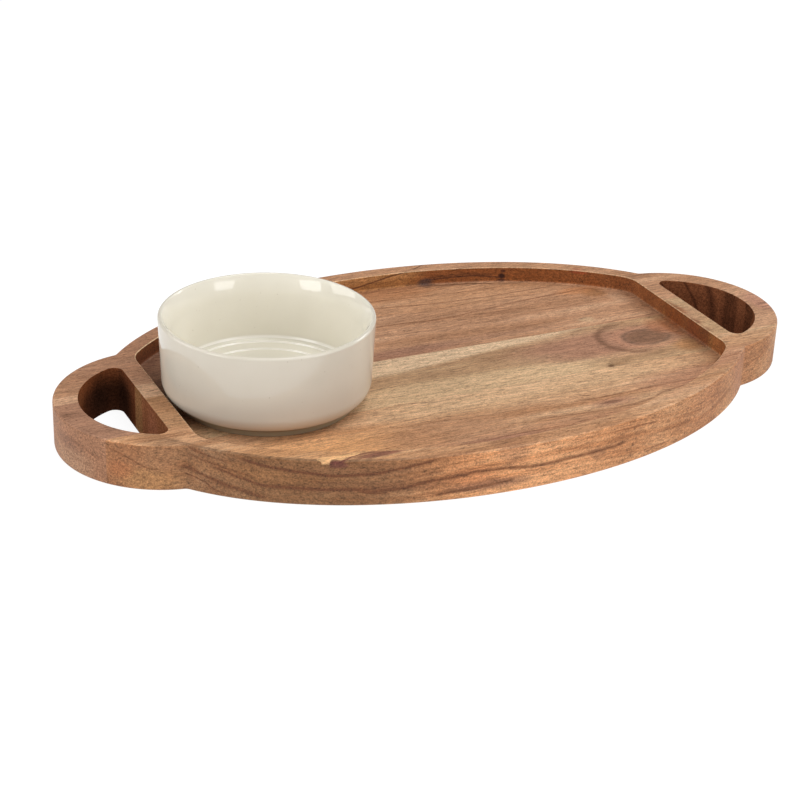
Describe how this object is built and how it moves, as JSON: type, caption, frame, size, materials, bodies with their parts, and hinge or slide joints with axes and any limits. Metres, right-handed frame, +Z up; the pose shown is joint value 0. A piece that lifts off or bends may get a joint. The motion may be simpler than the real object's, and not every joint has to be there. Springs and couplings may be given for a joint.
{
  "type": "chip and dip server",
  "caption": "Oval hardwood serving board with a wide shallow recess, a hand hole at each end and a loose round glazed dip bowl.",
  "frame": {"origin": "centre of the board's oval outline, on its flat underside", "axes": "+X along the board through both handles, away from the bowl's end; +Y across the board to the back; +Z up"},
  "size_m": [0.456, 0.255, 0.068],
  "materials": {
    "golden_wood": "satin oiled",
    "pale_wood": "satin oiled",
    "reddish_wood": "satin oiled",
    "ivory_glaze": "gloss"
  },
  "bodies": {
    "board": {"front_stave": "golden_wood", "centre_stave": "pale_wood", "left_grip_stave": "pale_wood", "right_grip_stave": "pale_wood", "back_stave": "reddish_wood"},
    "bowl": {"dip_bowl": "ivory_glaze"}
  },
  "joints": [
    {"name": "bowl_lift", "type": "slide", "parent": "board", "child": "bowl", "axis": [0, 0, 1], "range_m": [0, 0.07]}
  ]
}
